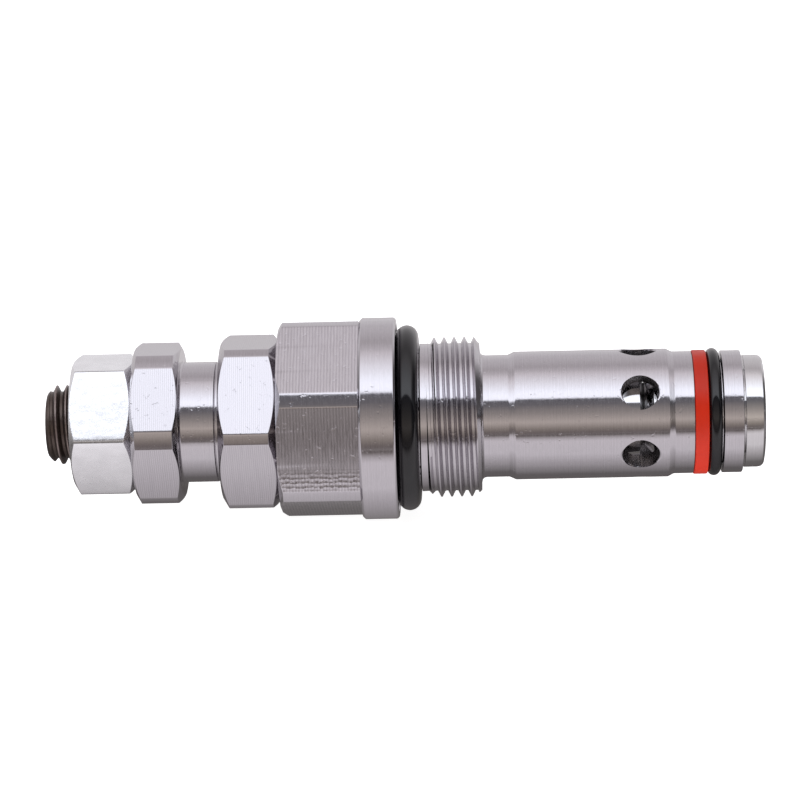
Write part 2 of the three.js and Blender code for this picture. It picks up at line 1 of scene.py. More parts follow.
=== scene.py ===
"""Builds the looks of a two-stage relief valve cartridge round its CAD frame.

Everything stands in the frame's own axes: the valve's axis is X, the adjusters are at -X, the inlet nose is
at +X and +Z is up. Lengths are worked out in millimetres and turned into metres where a vertex is placed.
"""
import functools
import math

import bmesh
import bpy
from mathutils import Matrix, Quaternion, Vector


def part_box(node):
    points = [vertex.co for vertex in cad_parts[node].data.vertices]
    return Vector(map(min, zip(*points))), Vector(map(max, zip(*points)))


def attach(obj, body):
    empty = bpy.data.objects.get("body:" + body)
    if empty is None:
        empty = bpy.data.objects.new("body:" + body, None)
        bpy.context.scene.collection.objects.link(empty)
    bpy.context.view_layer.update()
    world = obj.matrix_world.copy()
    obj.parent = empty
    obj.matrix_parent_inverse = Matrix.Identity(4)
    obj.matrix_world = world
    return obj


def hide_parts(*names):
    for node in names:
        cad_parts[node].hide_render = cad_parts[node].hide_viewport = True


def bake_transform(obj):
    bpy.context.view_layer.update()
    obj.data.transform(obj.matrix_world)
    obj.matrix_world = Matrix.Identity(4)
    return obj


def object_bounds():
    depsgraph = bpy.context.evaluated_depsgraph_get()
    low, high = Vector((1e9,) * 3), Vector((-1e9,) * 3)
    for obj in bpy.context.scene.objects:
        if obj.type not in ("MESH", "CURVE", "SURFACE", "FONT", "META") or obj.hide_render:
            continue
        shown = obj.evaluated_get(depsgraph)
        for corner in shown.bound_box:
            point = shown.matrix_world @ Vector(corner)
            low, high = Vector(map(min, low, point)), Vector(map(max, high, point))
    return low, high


bl_info = {
    "name": "Relief valve cartridge",
    "version": (1, 0, 0),
    "blender": (4, 5, 0),
    "location": "3D View > Sidebar > Valve",
    "description": "Builds a two-stage relief valve cartridge, its finishes and its studio",
    "category": "Add Mesh",
}

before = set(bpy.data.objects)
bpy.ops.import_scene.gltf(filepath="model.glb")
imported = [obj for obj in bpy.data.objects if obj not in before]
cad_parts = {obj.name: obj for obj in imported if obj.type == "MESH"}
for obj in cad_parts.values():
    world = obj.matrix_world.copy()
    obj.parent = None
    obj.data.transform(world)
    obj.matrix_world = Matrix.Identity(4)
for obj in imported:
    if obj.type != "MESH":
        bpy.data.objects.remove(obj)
CAD_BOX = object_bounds()
MM = 0.001


def span(node):
    """Where a CAD node starts and ends along the axis, in millimetres."""
    low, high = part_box(node)
    return low.x / MM, high.x / MM


def width(node):
    """The outside diameter of a turned CAD node, in metres."""
    low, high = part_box(node)
    return high.z - low.z


# ---- Sizes, in millimetres ----------------------------------------------------------------------------

PITCH = 1.5  # every thread is a fine metric one
THREAD_DEPTH = 0.6134 * PITCH
THREAD_GAP = 0.15  # round a thread, in the plain bore that stands in for its nut
THREAD_LEAD = 0.9  # how long a thread takes to run out at its ends
CHAMFER_SLOPE = math.tan(math.radians(30))  # depth of a hexagon's chamfer for each millimetre of radius
EDGE_BREAK = 0.06  # how far a machined edge is blunted
MOUTH = 0.6  # the chamfer at the mouth of a threaded bore
COLUMNS = 160  # points round a turned piece
CUT_ROWS = 0.24  # between the points along a stretch that a hole is cut through
SHARP = 32  # an edge that turns by more degrees than this stays crisp
SAME_PLACE = 0.0002  # two points nearer than this are one
NO_LENGTH = 0.00001

# Stations along the valve, from the collar's sealing face, and the radii there.
BODY_HEX = (-17.5, -5.46)
UNDERCUT = (-0.2, 3.4, 10.35)
BODY_THREAD = (4.5, 12.4)
BODY_THREAD_RADIUS = 11.925
ADJUSTER_THREAD_RADIUS = 8.925
SCREW_THREAD_RADIUS = 5.925
SLEEVE = (17.5, 40.05)
NOSE_GROOVE = (43.8, 48.1, 7.55)
BODY_END = 51.05
SEAT_FLANGE = (51.35, 8.35)
SEAT_SHANK = 6.13
NECK_RADIUS = 9.1
GUIDE_BORE = 6.25
INLET_RADIUS = 4.5
HOLE_STATION = 35.85
HOLE_RECESS = (HOLE_STATION - 4, HOLE_STATION + 2.7, 6.95)
HOLE_ANGLES = [44.3 + 60 * turn for turn in range(6)]  # degrees above -Y
POPPET_END = HOLE_STATION + 0.1
POPPET_RADIUS = 6.2
POPPET_BORE = 4.5
PILOT_BORE = (-10, 2, 7.5)
PISTON_BORE = (-32.6, -17, 5.05)
DRAIN_DRILLING = ((PILOT_BORE[0] + 5, 7.2, 0), (BODY_THREAD[1] + 4.2, 9.55, 0), 0.8)
ADJUSTER_HEX = (-39.05, -32.05)
ADJUSTER_BARREL = 8.975
ADJUSTER_NOSE = (-11.55, 7.38)
SCREW_NOSE = 4.93
SEAL_GROOVE = 2.4  # the width of a small O-ring's groove

# Which finish a face takes, by its slot on the piece.
TURNED, MILLED, DRILLED = range(3)


def length(name, description, default):
    """A length property, in metres."""
    return bpy.props.FloatProperty(name=name, description=description, default=default, unit="LENGTH")


class ValveSizes(bpy.types.PropertyGroup):
    """The sizes that a user would change."""

    body_hexagon: length("Body hexagon", "Across the flats of the body", 0.027)
    lock_nut_hexagon: length("Lock nut hexagon", "Across the flats of the adjuster's lock nut", 0.024)
    adjuster_hexagon: length("Adjuster hexagon", "Across the flats of the outer adjuster", 0.0225)
    screw_nut_hexagon: length("Screw nut hexagon", "Across the flats of the screw's lock nut", 0.019)
    collar: length("Collar", "Diameter of the collar", width("valve_body"))
    sleeve: length("Sleeve", "Diameter of the drilled sleeve", 0.0191)
    tank_hole: length("Tank hole", "Diameter of each tank hole", 0.0053)
    camera_height: bpy.props.FloatProperty(
        name="Camera height",
        description="Angle of the camera above the horizon",
        default=math.radians(25),
        subtype="ANGLE",
    )


def linear(code):
    """An sRGB hex colour as a linear colour with alpha."""
    shares = [int(code[i : i + 2], 16) / 255 for i in (1, 3, 5)]
    return tuple(s / 12.92 if s <= 0.04045 else ((s + 0.055) / 1.055) ** 2.4 for s in shares) + (1.0,)


def finish_colour(name, description, code):
    """A colour property that starts from an sRGB hex value."""
    return bpy.props.FloatVectorProperty(
        name=name, description=description, default=linear(code), size=4, subtype="COLOR", min=0, max=1
    )


class ValveColours(bpy.types.PropertyGroup):
    """The colours of the finishes."""

    steel: finish_colour("Steel", "Bare machined steel", "#CBC8CC")
    hardened: finish_colour("Hardened steel", "Hardened and ground steel", "#D8D7D8")
    zinc: finish_colour("Zinc", "Bright zinc plate", "#FCFDFF")
    oxide: finish_colour("Black oxide", "Blackened screw", "#5C524D")
    rubber: finish_colour("Nitrile", "Moulded nitrile rubber", "#0D0D10")
    backup: finish_colour("Back-up ring", "Moulded polyurethane", "#CB2602")


# ---- Mesh code ----------------------------------------------------------------------------------------


def place(x, radius, angle):
    """A vertex in metres: millimetres along the axis and out from it, at an angle upwards from -Y."""
    return Vector((x, -radius * math.cos(angle), radius * math.sin(angle))) * MM


def rounded(corners, closed=False, steps=3):
    """An outline with its corners blunted. A corner is (x, radius, blunting, slot), and the slot holds as far
    as the next corner."""
    points = []
    for i, (x, radius, size, slot) in enumerate(corners):
        ends_here = not closed and i in (0, len(corners) - 1)
        if size == 0 or ends_here:
            points.append((x, radius, slot))
            continue
        corner = Vector((x, radius))
        back = Vector(corners[i - 1][:2]) - corner
        on = Vector(corners[(i + 1) % len(corners)][:2]) - corner
        cut = min(size, 0.45 * back.length, 0.45 * on.length)
        start = corner + back.normalized() * cut
        end = corner + on.normalized() * cut
        for step in range(steps + 1):
            t = step / steps
            spot = start * (1 - t) ** 2 + corner * 2 * t * (1 - t) + end * t**2
            points.append((spot.x, spot.y, slot))
    return points


def turned(corners, closed=True):
    """The outline of a turned piece, the same at every angle."""
    outline = rounded(corners, closed)
    return lambda angle: outline


def spin(bm, outline_at, angles, closed=True, seam=False):
    """Skins the outlines that stand at the given angles. With seam, the last isn't joined to the first."""
    outlines = [outline_at(angle) for angle in angles]
    grid = [[bm.verts.new(place(x, r, a)) for x, r, _ in outline] for a, outline in zip(angles, outlines)]
    following = grid[1:] if seam else grid[1:] + grid[:1]
    for outline, here, there in zip(outlines, grid, following):
        for i in range(len(here) if closed else len(here) - 1):
            j = (i + 1) % len(here)
            face = bm.faces.new((here[i], here[j], there[j], there[i]))
            face.material_index = outline[i][2]
            face.smooth = True


def even_angles(count=COLUMNS):
    """Equal steps round the axis."""
    return [2 * math.pi * i / count for i in range(count)]


class Hexagon:
    """A hexagon's width across flats, the radius that its corners are turned to, the radius of its flat face,
    and the angle of one flat above the -Y direction, in degrees. Its edges are blunted, and the band between
    two flats takes its own slot."""

    CROWD = [math.radians(step) for step in (-1.4, -0.8, -0.35, 0, 0.35, 0.8, 1.4)]

    def __init__(self, flats, corner, face, angle, blunt=EDGE_BREAK, band=TURNED):
        self.flats = flats
        self.corner = corner
        self.face = face
        self.angle = math.radians(angle)
        self.blunt = blunt
        self.band = band

    def off_flat(self, angle):
        """How far an angle is from the middle of the nearest flat."""
        sixth = math.pi / 3
        return (angle - self.angle + sixth / 2) % sixth - sixth / 2

    def to_flat(self, angle):
        """How far the nearest flat's plane is from the axis at an angle."""
        return self.flats / 2 / math.cos(self.off_flat(angle))

    def half_flat(self):
        """The angle from the middle of a flat to its edge."""
        return math.acos(self.flats / 2 / self.corner)

    def reach(self, angle):
        """How far the hexagon stands out at an angle, to a flat or a turned corner, blunted between them."""
        flat = self.to_flat(angle)
        blend = max(0.0, 1 - abs(flat - self.corner) / self.blunt)
        return min(flat, self.corner) - self.blunt * blend**2 / 4

    def angles(self):
        """Steps round the axis, crowded where the flats meet the corners."""
        half = self.half_flat()
        edges = [self.angle + turn * math.pi / 3 + side * half for turn in range(6) for side in (-1, 1)]
        near = [edge + step for edge in edges for step in self.CROWD]
        room = self.CROWD[-1] * 1.2

        def clear(angle):
            return all(abs((angle - edge + math.pi) % (2 * math.pi) - math.pi) > room for edge in edges)

        return sorted(angle % (2 * math.pi) for angle in near + list(filter(clear, even_angles())))

    def corners(self, angle, left, right, chamfer_right=True):
        """The outside corners of the hexagon at an angle, from its left face to its right one."""
        reach = self.reach(angle)
        depth = max(reach - self.face, 0) * CHAMFER_SLOPE
        face = min(self.face, reach)
        side = MILLED if abs(self.off_flat(angle)) < self.half_flat() else self.band
        before = [(left, face, 0.12, TURNED), (left + depth, reach, 0.09, side)]
        if not chamfer_right:
            return before + [(right, reach, 0, TURNED)]
        return before + [(right - depth, reach, 0.09, TURNED), (right, face, 0.12, TURNED)]


def thread_at(left, right, radius):
    """The outline of a right-hand thread at an angle. Its turns run out in a chamfer at both ends."""
    root = radius - THREAD_DEPTH
    crest_end, root_start, root_end = PITCH / 8, PITCH * 7 / 16, PITCH * 11 / 16
    turn = rounded(
        [
            (0, radius, 0.05, TURNED),
            (crest_end, radius, 0.05, TURNED),
            (root_start, root, 0.09, TURNED),
            (root_end, root, 0.09, TURNED),
        ]
    )
    for share in (0.12, 0.35, 0.6, 0.85, 0.95):
        turn.append((root_end + (PITCH - root_end) * share, root + THREAD_DEPTH * share, TURNED))
    turns = math.ceil((right - left) / PITCH) + 2

    def outline(angle):
        points = []
        for count in range(turns):
            for x, r, slot in turn:
                along = left + (count - angle / (2 * math.pi)) * PITCH + x
                along = min(max(along, left), right)
                run_out = min(along - left, right - along) / THREAD_LEAD * THREAD_DEPTH
                points.append((along, min(r, root + run_out), slot))
        return points

    return outline


def spin_thread(bm, left, right, radius, angles):
    """Skins a thread. It starts and ends at the same angle, one pitch apart, so it has a seam."""
    spin(bm, thread_at(left, right, radius), angles + [angles[0] + 2 * math.pi], closed=False, seam=True)


def mesh_object(bm, name, materials=()):
    """Turns mesh code into an object with its finishes."""
    bmesh.ops.remove_doubles(bm, verts=bm.verts, dist=SAME_PLACE * MM)
    bmesh.ops.dissolve_degenerate(bm, edges=bm.edges, dist=NO_LENGTH * MM)
    bmesh.ops.recalc_face_normals(bm, faces=bm.faces)
    mesh = bpy.data.meshes.new(name)
    bm.to_mesh(mesh)
    bm.free()
    for material in materials:
        mesh.materials.append(material)
    made = bpy.data.objects.new(name, mesh)
    bpy.context.collection.objects.link(made)
    return made


def fit(piece, body, node, sharp=SHARP):
    """Shades a piece evenly between its crisp edges, lets it ride on a body and stand for a CAD node."""
    piece.data.set_sharp_from_angle(angle=math.radians(sharp))
    normals = piece.modifiers.new("even_shading", "WEIGHTED_NORMAL")
    normals.keep_sharp = True
    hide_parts(node)
    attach(piece, body)


def cut(piece, cutter):
    """Cuts one mesh out of another for good, and removes the cutter."""
    boolean = piece.modifiers.new("cut", "BOOLEAN")
    boolean.operation = "DIFFERENCE"
    boolean.solver = "EXACT"
    boolean.object = cutter
    graph = bpy.context.evaluated_depsgraph_get()
    result = bpy.data.meshes.new_from_object(piece.evaluated_get(graph))
    piece.modifiers.remove(boolean)
    old = piece.data
    piece.data = result
    bpy.data.meshes.remove(old)
    bpy.data.objects.remove(cutter)


# ---- Finishes -----------------------------------------------------------------------------------------

WAVE_PERIOD = math.pi / 10  # how far apart a wave texture draws its bands, at a scale of one
MOST = (0.3, 0.7)  # a noise or wave texture keeps most of its values between these
CUTTER_MARK = 0.22  # the finest mark of a cutter in millimetres, drawn a little coarser than real to be seen
PIT_SPACING = 0.7  # millimetres between the pits in bare metal
PIT_EDGE = (0.66, 0.74)  # only the peaks of the noise make a pit
PIT_DEPTH = 1.6  # times the depth of the tool marks
CHATTER_SPACING = 0.7  # millimetres between chatter dimples
CHATTER_DEPTH = 0.045  # millimetres
CHATTER_TOP = (-3.4, -1.6)  # millimetres above the axis, between which the dimples fade out
CHATTER_FRONT = -7.5  # the dimples are further to the front than this, in millimetres
HAMMER_MARKS = 0.8  # to a millimetre of forged skin
PLATING_GRAINS = 3.6  # to a millimetre of zinc plate
OXIDE_GRAINS = 3.4  # to a millimetre of black oxide
CLOUDS = 0.42  # slow changes of tone to a millimetre


def add(tree, kind, sockets=None, **settings):
    """Adds a node with its settings. A socket is given a value, or another node's output to link in."""
    made = tree.nodes.new(kind)
    for name, value in settings.items():
        setattr(made, name, value)
    for key, value in (sockets or {}).items():
        if isinstance(value, bpy.types.NodeSocket):
            tree.links.new(value, made.inputs[key])
        else:
            made.inputs[key].default_value = value
    return made


def spread(value, low, high, start, end):
    """What a Map Range node takes to turn low..high into start..end."""
    return {"Value": value, "From Min": low, "From Max": high, "To Min": start, "To Max": end}


def finish(build):
    """Makes a finish once, under its function's own name, and hands out the same material after that."""

    @functools.wraps(build)
    def shared():
        name = build.__name__
        return bpy.data.materials.get(name) or build(name)

    return shared


def empty_material(name):
    """A node material with nothing in its tree, and that tree."""
    material = bpy.data.materials.new(name)
    material.use_nodes = True
    material.node_tree.nodes.clear()
    return material, material.node_tree


def blank_material(name):
    """A node material that holds only a surface shader, with its tree and that shader."""
    material, tree = empty_material(name)
    shader = add(tree, "ShaderNodeBsdfPrincipled")
    add(tree, "ShaderNodeOutputMaterial", {"Surface": shader.outputs[0]})
    return material, tree, shader


def colours():
    """The colour properties of this scene."""
    return bpy.context.scene.valve_colours


def shade(colour, factor):
    """The same colour, lighter or darker."""
    return tuple(min(channel * factor, 1.0) for channel in colour[:3]) + (1.0,)


def surface(tree, shader, colour, gloss, height, depth_mm):
    """Feeds a shader its colour, its roughness and a relief of the given depth."""
    bump = add(tree, "ShaderNodeBump", {"Height": height, "Strength": 1.0, "Distance": depth_mm * MM})
    tree.links.new(colour, shader.inputs["Base Color"])
    tree.links.new(gloss, shader.inputs["Roughness"])
    tree.links.new(bump.outputs[0], shader.inputs["Normal"])


def machined_metal(name, colour, roughness, ring_mm, ring_share, depth_mm, length=7, even=False):
    """Bare metal with tool marks in rings round the axis. Rings ring_mm wide darken it by ring_share, finer
    marks run `length` times as far round the axis as along it, and a few pits break them. Even rings are a
    cutter's."""
    material, tree, shader = blank_material(name)
    where = add(tree, "ShaderNodeTexCoord").outputs["Object"]
    if even:
        scale = WAVE_PERIOD / (ring_mm * MM)
        sockets = {"Vector": where, "Scale": scale, "Distortion": 0.7, "Detail": 1.0, "Detail Scale": 1.5}
        rings = add(tree, "ShaderNodeTexWave", sockets, bands_direction="X").outputs[1]
    else:
        along = add(tree, "ShaderNodeSeparateXYZ", {0: where}).outputs["X"]
        sockets = {"W": along, "Scale": 1 / (ring_mm * MM), "Detail": 2.0, "Roughness": 0.65}
        rings = add(tree, "ShaderNodeTexNoise", sockets, noise_dimensions="1D").outputs[0]
    fine = 1 / (CUTTER_MARK * MM)
    scales = (fine, fine / length, fine / length)
    drawn = add(tree, "ShaderNodeMapping", {"Vector": where, "Scale": scales})
    sockets = {"Vector": drawn.outputs[0], "Scale": 1.0, "Detail": 3.0, "Roughness": 0.6}
    marks = add(tree, "ShaderNodeTexNoise", sockets).outputs[0]
    sockets = {"Vector": where, "Scale": 1 / (PIT_SPACING * MM), "Detail": 2.0}
    spots = add(tree, "ShaderNodeTexNoise", sockets)
    pits = add(tree, "ShaderNodeMapRange", spread(spots.outputs[0], *PIT_EDGE, 0.0, 1.0)).outputs[0]
    lit = add(tree, "ShaderNodeMapRange", spread(rings, *MOST, 1 - ring_share, 1.0)).outputs[0]
    worn = add(tree, "ShaderNodeMapRange", spread(marks, *MOST, 1 - ring_share, 1.0)).outputs[0]
    bright = add(tree, "ShaderNodeMath", {0: lit, 1: worn}, operation="MULTIPLY").outputs[0]
    sockets = {"Factor": bright, "A": shade(colour, 0.25), "B": tuple(colour)}
    base = add(tree, "ShaderNodeMix", sockets, data_type="RGBA").outputs["Result"]
    uneven = spread(marks, *MOST, roughness * 0.7, roughness * 1.4)
    gloss = add(tree, "ShaderNodeMapRange", uneven).outputs[0]
    relief = add(tree, "ShaderNodeMath", {0: rings, 1: marks}, operation="ADD").outputs[0]
    dented = add(tree, "ShaderNodeMath", {0: pits, 1: -PIT_DEPTH, 2: relief}, operation="MULTIPLY_ADD").outputs[0]
    surface(tree, shader, base, gloss, dented, depth_mm)
    shader.inputs["Metallic"].default_value = 1.0
    return material


@finish
def lathe_turned_steel(name):
    """Free-cutting steel, turned on a lathe and left bare: rings of fine feed marks under a crisp shine."""
    return machined_metal(
        name, colours().steel, roughness=0.11, ring_mm=0.19, ring_share=0.08, depth_mm=0.007, length=5
    )


@finish
def face_milled_steel(name):
    """The same steel on a milled flat: even cutter lines across the flat, 0.3 mm apart."""
    steel = colours().steel
    return machined_metal(
        name, steel, roughness=0.15, ring_mm=0.3, ring_share=0.12, depth_mm=0.006, length=20, even=True
    )


@finish
def coarse_milled_steel(name):
    """The body's flats: cutter lines 0.45 mm apart, and rows of chatter dimples low on the front flat."""
    steel = shade(colours().steel, 1.1)
    material = machined_metal(
        name, steel, roughness=0.18, ring_mm=0.45, ring_share=0.18, depth_mm=0.01, length=12, even=True
    )
    tree = material.node_tree
    shader = tree.nodes["Principled BSDF"]
    bump = shader.inputs["Normal"].links[0].from_node
    where = add(tree, "ShaderNodeTexCoord").outputs["Object"]
    split = add(tree, "ShaderNodeSeparateXYZ", {0: where})
    sockets = {"Vector": where, "Scale": 1 / (CHATTER_SPACING * MM), "Randomness": 0.35}
    rows = add(tree, "ShaderNodeTexVoronoi", sockets).outputs[0]
    full, none = CHATTER_TOP
    low = add(tree, "ShaderNodeMapRange", spread(split.outputs["Z"], full * MM, none * MM, 1.0, 0.0))
    front = add(tree, "ShaderNodeMath", {0: split.outputs["Y"], 1: CHATTER_FRONT * MM}, operation="LESS_THAN")
    there = add(tree, "ShaderNodeMath", {0: low.outputs[0], 1: front.outputs[0]}, operation="MULTIPLY")
    chatter = add(tree, "ShaderNodeMath", {0: rows, 1: there.outputs[0]}, operation="MULTIPLY")
    sockets = {"Height": chatter.outputs[0], "Distance": CHATTER_DEPTH * MM, "Normal": bump.outputs[0]}
    tree.links.new(add(tree, "ShaderNodeBump", sockets).outputs[0], shader.inputs["Normal"])
    return material


@finish
def drilled_steel_and_painted_shade(name):
    """The wall of a drilled hole: coarse rings from the drill's lips and a dull oily shine. Its colour is
    darkened to seven tenths of the steel, partly for the duller drilled finish and partly as painted shade inside
    the bores and holes.
    """
    dull = shade(colours().steel, 0.7)
    return machined_metal(name, dull, roughness=0.26, ring_mm=0.45, ring_share=0.35, depth_mm=0.03, length=1)


@finish
def ground_hard_steel(name):
    """Hardened steel, ground: brighter and smoother than the turned body."""
    ground = colours().hardened
    return machined_metal(name, ground, roughness=0.08, ring_mm=0.14, ring_share=0.07, depth_mm=0.002)


@finish
def dark_spring_wire_and_painted_shade(name):
    """Oil-tempered spring wire: a dark drawn surface with faint die lines. On the main poppet's cone the same
    dark finish is painted shade.
    """
    dark = shade(colours().hardened, 0.45)
    return machined_metal(name, dark, roughness=0.35, ring_mm=0.3, ring_share=0.25, depth_mm=0.006)


@finish
def bright_zinc_plating(name):
    """Forged nut, bright zinc plated: a bluish white shine over a lightly hammered forging skin."""
    material, tree, shader = blank_material(name)
    where = add(tree, "ShaderNodeTexCoord").outputs["Object"]
    sockets = {"Vector": where, "Scale": HAMMER_MARKS / MM, "Detail": 1.5}
    hammered = add(tree, "ShaderNodeTexNoise", sockets).outputs[0]
    sockets = {"Vector": where, "Scale": PLATING_GRAINS / MM, "Detail": 2.0}
    grain = add(tree, "ShaderNodeTexNoise", sockets).outputs[0]
    sockets = {"Vector": where, "Scale": CLOUDS / MM, "Detail": 3.0}
    cloud = add(tree, "ShaderNodeTexNoise", sockets).outputs[0]
    share = add(tree, "ShaderNodeMapRange", spread(cloud, 0.35, 0.65, 0.0, 1.0)).outputs[0]
    sockets = {"Factor": share, "A": shade(colours().zinc, 0.93), "B": tuple(colours().zinc)}
    base = add(tree, "ShaderNodeMix", sockets, data_type="RGBA").outputs["Result"]
    gloss = add(tree, "ShaderNodeMapRange", spread(grain, *MOST, 0.2, 0.32)).outputs[0]
    relief = add(tree, "ShaderNodeMath", {0: grain, 1: 0.2, 2: hammered}, operation="MULTIPLY_ADD").outputs[0]
    surface(tree, shader, base, gloss, relief, 0.018)
    shader.inputs["Metallic"].default_value = 1.0
    return material


@finish
def dark_zinc_corner_band(name):
    """The nut's corner bands: a dull, ragged grey at half the lightness of the plating."""
    grey = shade(colours().zinc, 0.5)
    return machined_metal(name, grey, roughness=0.3, ring_mm=0.4, ring_share=0.3, depth_mm=0.03, length=1)


@finish
def blackened_screw_steel(name):
    """Rolled screw thread, black oxide over steel: dull black in the roots, worn brownish on the crests."""
    material, tree, shader = blank_material(name)
    where = add(tree, "ShaderNodeTexCoord").outputs["Object"]
    split = add(tree, "ShaderNodeSeparateXYZ", {0: where})
    across = add(tree, "ShaderNodeCombineXYZ", {"Y": split.outputs["Y"], "Z": split.outputs["Z"]})
    radius = add(tree, "ShaderNodeVectorMath", {0: across.outputs[0]}, operation="LENGTH").outputs["Value"]
    sockets = {"Vector": where, "Scale": OXIDE_GRAINS / MM, "Detail": 3.0}
    grain = add(tree, "ShaderNodeTexNoise", sockets).outputs[0]
    sockets = {0: grain, 1: 0.5 * MM, 2: radius}
    ragged = add(tree, "ShaderNodeMath", sockets, operation="MULTIPLY_ADD").outputs[0]
    crest = SCREW_THREAD_RADIUS
    rubbed = spread(ragged, (crest - 0.1) * MM, (crest + 0.3) * MM, 0.0, 0.85)
    worn = add(tree, "ShaderNodeMapRange", rubbed)
    bare = Vector(colours().steel[:3]) * Vector((0.55, 0.47, 0.42))
    sockets = {"Factor": worn.outputs[0], "A": tuple(colours().oxide), "B": tuple(bare) + (1.0,)}
    base = add(tree, "ShaderNodeMix", sockets, data_type="RGBA").outputs["Result"]
    gloss = add(tree, "ShaderNodeMapRange", spread(grain, *MOST, 0.26, 0.46)).outputs[0]
    surface(tree, shader, base, gloss, grain, 0.03)
    shader.inputs["Metallic"].default_value = 0.9
    return material


def moulded(name, colour, roughness, grain_mm, depth_mm, mottle, shine):
    """A moulded surface: faint mottling and a fine grain left by the mould."""
    material, tree, shader = blank_material(name)
    where = add(tree, "ShaderNodeTexCoord").outputs["Object"]
    sockets = {"Vector": where, "Scale": 1 / (grain_mm * MM), "Detail": 2.0}
    grain = add(tree, "ShaderNodeTexNoise", sockets).outputs[0]
    sockets = {"Vector": where, "Scale": CLOUDS / MM, "Detail": 2.0}
    cloud = add(tree, "ShaderNodeTexNoise", sockets).outputs[0]
    sockets = {"Factor": cloud, "A": shade(colour, 1 - mottle), "B": shade(colour, 1 + mottle)}
    base = add(tree, "ShaderNodeMix", sockets, data_type="RGBA").outputs["Result"]
    uneven = spread(cloud, *MOST, roughness * 0.85, roughness * 1.2)
    gloss = add(tree, "ShaderNodeMapRange", uneven).outputs[0]
    surface(tree, shader, base, gloss, grain, depth_mm)
    shader.inputs["IOR"].default_value = 1.52
    shader.inputs["Specular IOR Level"].default_value = shine
    return material


@finish
def moulded_nitrile(name):
    """Nitrile rubber, moulded: near black with a soft oily sheen."""
    rubber = colours().rubber
    return moulded(name, rubber, roughness=0.09, grain_mm=0.3, depth_mm=0.001, mottle=0.2, shine=0.5)


@finish
def moulded_polyurethane(name):
    """Orange polyurethane, moulded: an even saturated colour with a waxy surface."""
    orange = colours().backup
    return moulded(name, orange, roughness=0.36, grain_mm=0.35, depth_mm=0.008, mottle=0.08, shine=0.3)


# ---- Pieces -------------------------------------------------------------------------------------------


def hexagons():
    """The four hexagons of the valve, as they happen to be tightened."""
    sizes = bpy.context.scene.valve_sizes
    return {
        "body": Hexagon(sizes.body_hexagon / MM, corner=15.0, face=13.8, angle=6.1),
        "lock_nut": Hexagon(sizes.lock_nut_hexagon / MM, corner=13.4, face=11.6, angle=43.4),
        "adjuster": Hexagon(sizes.adjuster_hexagon / MM, corner=12.25, face=11.0, angle=42.5),
        "screw_nut": Hexagon(
            sizes.screw_nut_hexagon / MM, corner=10.9, face=9.2, angle=40.6, blunt=0.3, band=DRILLED
        ),
    }


def rows_between(start, end, radius, slot=TURNED):
    """Plain points along a straight stretch, close enough for a cut through it to shade evenly."""
    count = round((end - start) / CUT_ROWS)
    return [(start + (end - start) * i / count, radius, 0, slot) for i in range(1, count)]


def build_body():
    """The body, from its hexagon to its nose, in one skin."""
    sizes = bpy.context.scene.valve_sizes
    shape = hexagons()["body"]
    collar = sizes.collar / 2 / MM
    sleeve = sizes.sleeve / 2 / MM
    left, right = BODY_HEX
    thread_left, thread_right = BODY_THREAD
    thread_root = BODY_THREAD_RADIUS - THREAD_DEPTH
    thread_bore = ADJUSTER_THREAD_RADIUS + THREAD_GAP
    ring_seat, undercut_end, undercut = UNDERCUT
    seal_mouth = 14
    corner = 0.4
    angles = shape.angles()
    bm = bmesh.new()

    def head(angle):
        reach = shape.reach(angle)
        return rounded(
            [
                (PILOT_BORE[0], thread_bore, 0, TURNED),
                (left + MOUTH, thread_bore, 0, TURNED),
                (left, thread_bore + MOUTH, 0.05, TURNED),
                *shape.corners(angle, left, right, chamfer_right=False),
                (right, collar - corner, 0.1, TURNED),
                (right + corner, collar, 0.1, TURNED),
                (-0.3, collar, 0.1, TURNED),
                (0, collar - 0.3, 0.1, TURNED),
                (0, seal_mouth, 0.08, TURNED),
                (ring_seat, seal_mouth, 0.05, TURNED),
                (ring_seat, undercut, 0.15, TURNED),
                (undercut_end, undercut, 0.05, TURNED),
                (undercut_end + 0.1, 11.05, 0.08, TURNED),
                (thread_left - 0.15, thread_root, 0.1, TURNED),
                (thread_left, thread_root, 0, TURNED),
            ]
        )

    spin(bm, head, angles, closed=False)
    spin_thread(bm, thread_left, thread_right, BODY_THREAD_RADIUS, angles)
    fillet = 0.75
    beside_holes = 3.6
    groove_left, groove_right, groove = NOSE_GROOVE
    recess_left, recess_right, recess = HOLE_RECESS
    tail = [
        (thread_right, thread_root, 0, TURNED),
        (thread_right + 0.05, NECK_RADIUS, fillet, TURNED),
        (SLEEVE[0] - 1, NECK_RADIUS, 0.1, TURNED),
        (SLEEVE[0], sleeve, 0.08, TURNED),
        *rows_between(HOLE_STATION - beside_holes, HOLE_STATION + beside_holes, sleeve),
        (SLEEVE[1], sleeve, 0.1, TURNED),
        (SLEEVE[1] + 0.9, NECK_RADIUS, 0.1, TURNED),
        (groove_left, NECK_RADIUS, 0.12, TURNED),
        (groove_left, groove, 0.1, TURNED),
        (groove_right, groove, 0.1, TURNED),
        (groove_right, NECK_RADIUS, 0.12, TURNED),
        (BODY_END, NECK_RADIUS, 0.2, TURNED),
        (BODY_END, GUIDE_BORE, 0, DRILLED),
        (recess_right + 0.7, GUIDE_BORE, 0, DRILLED),
        (recess_right, recess, 0, DRILLED),
        *reversed(rows_between(recess_left, recess_right, recess, DRILLED)),
        (recess_left, recess, 0, DRILLED),
        (recess_left, GUIDE_BORE, 0, DRILLED),
        (PILOT_BORE[1], GUIDE_BORE, 0, DRILLED),
        (PILOT_BORE[1], PILOT_BORE[2], 0, DRILLED),
        (PILOT_BORE[0], PILOT_BORE[2], 0, DRILLED),
        (PILOT_BORE[0], thread_bore, 0, TURNED),
    ]
    spin(bm, turned(tail, closed=False), angles, closed=False)
    return bm


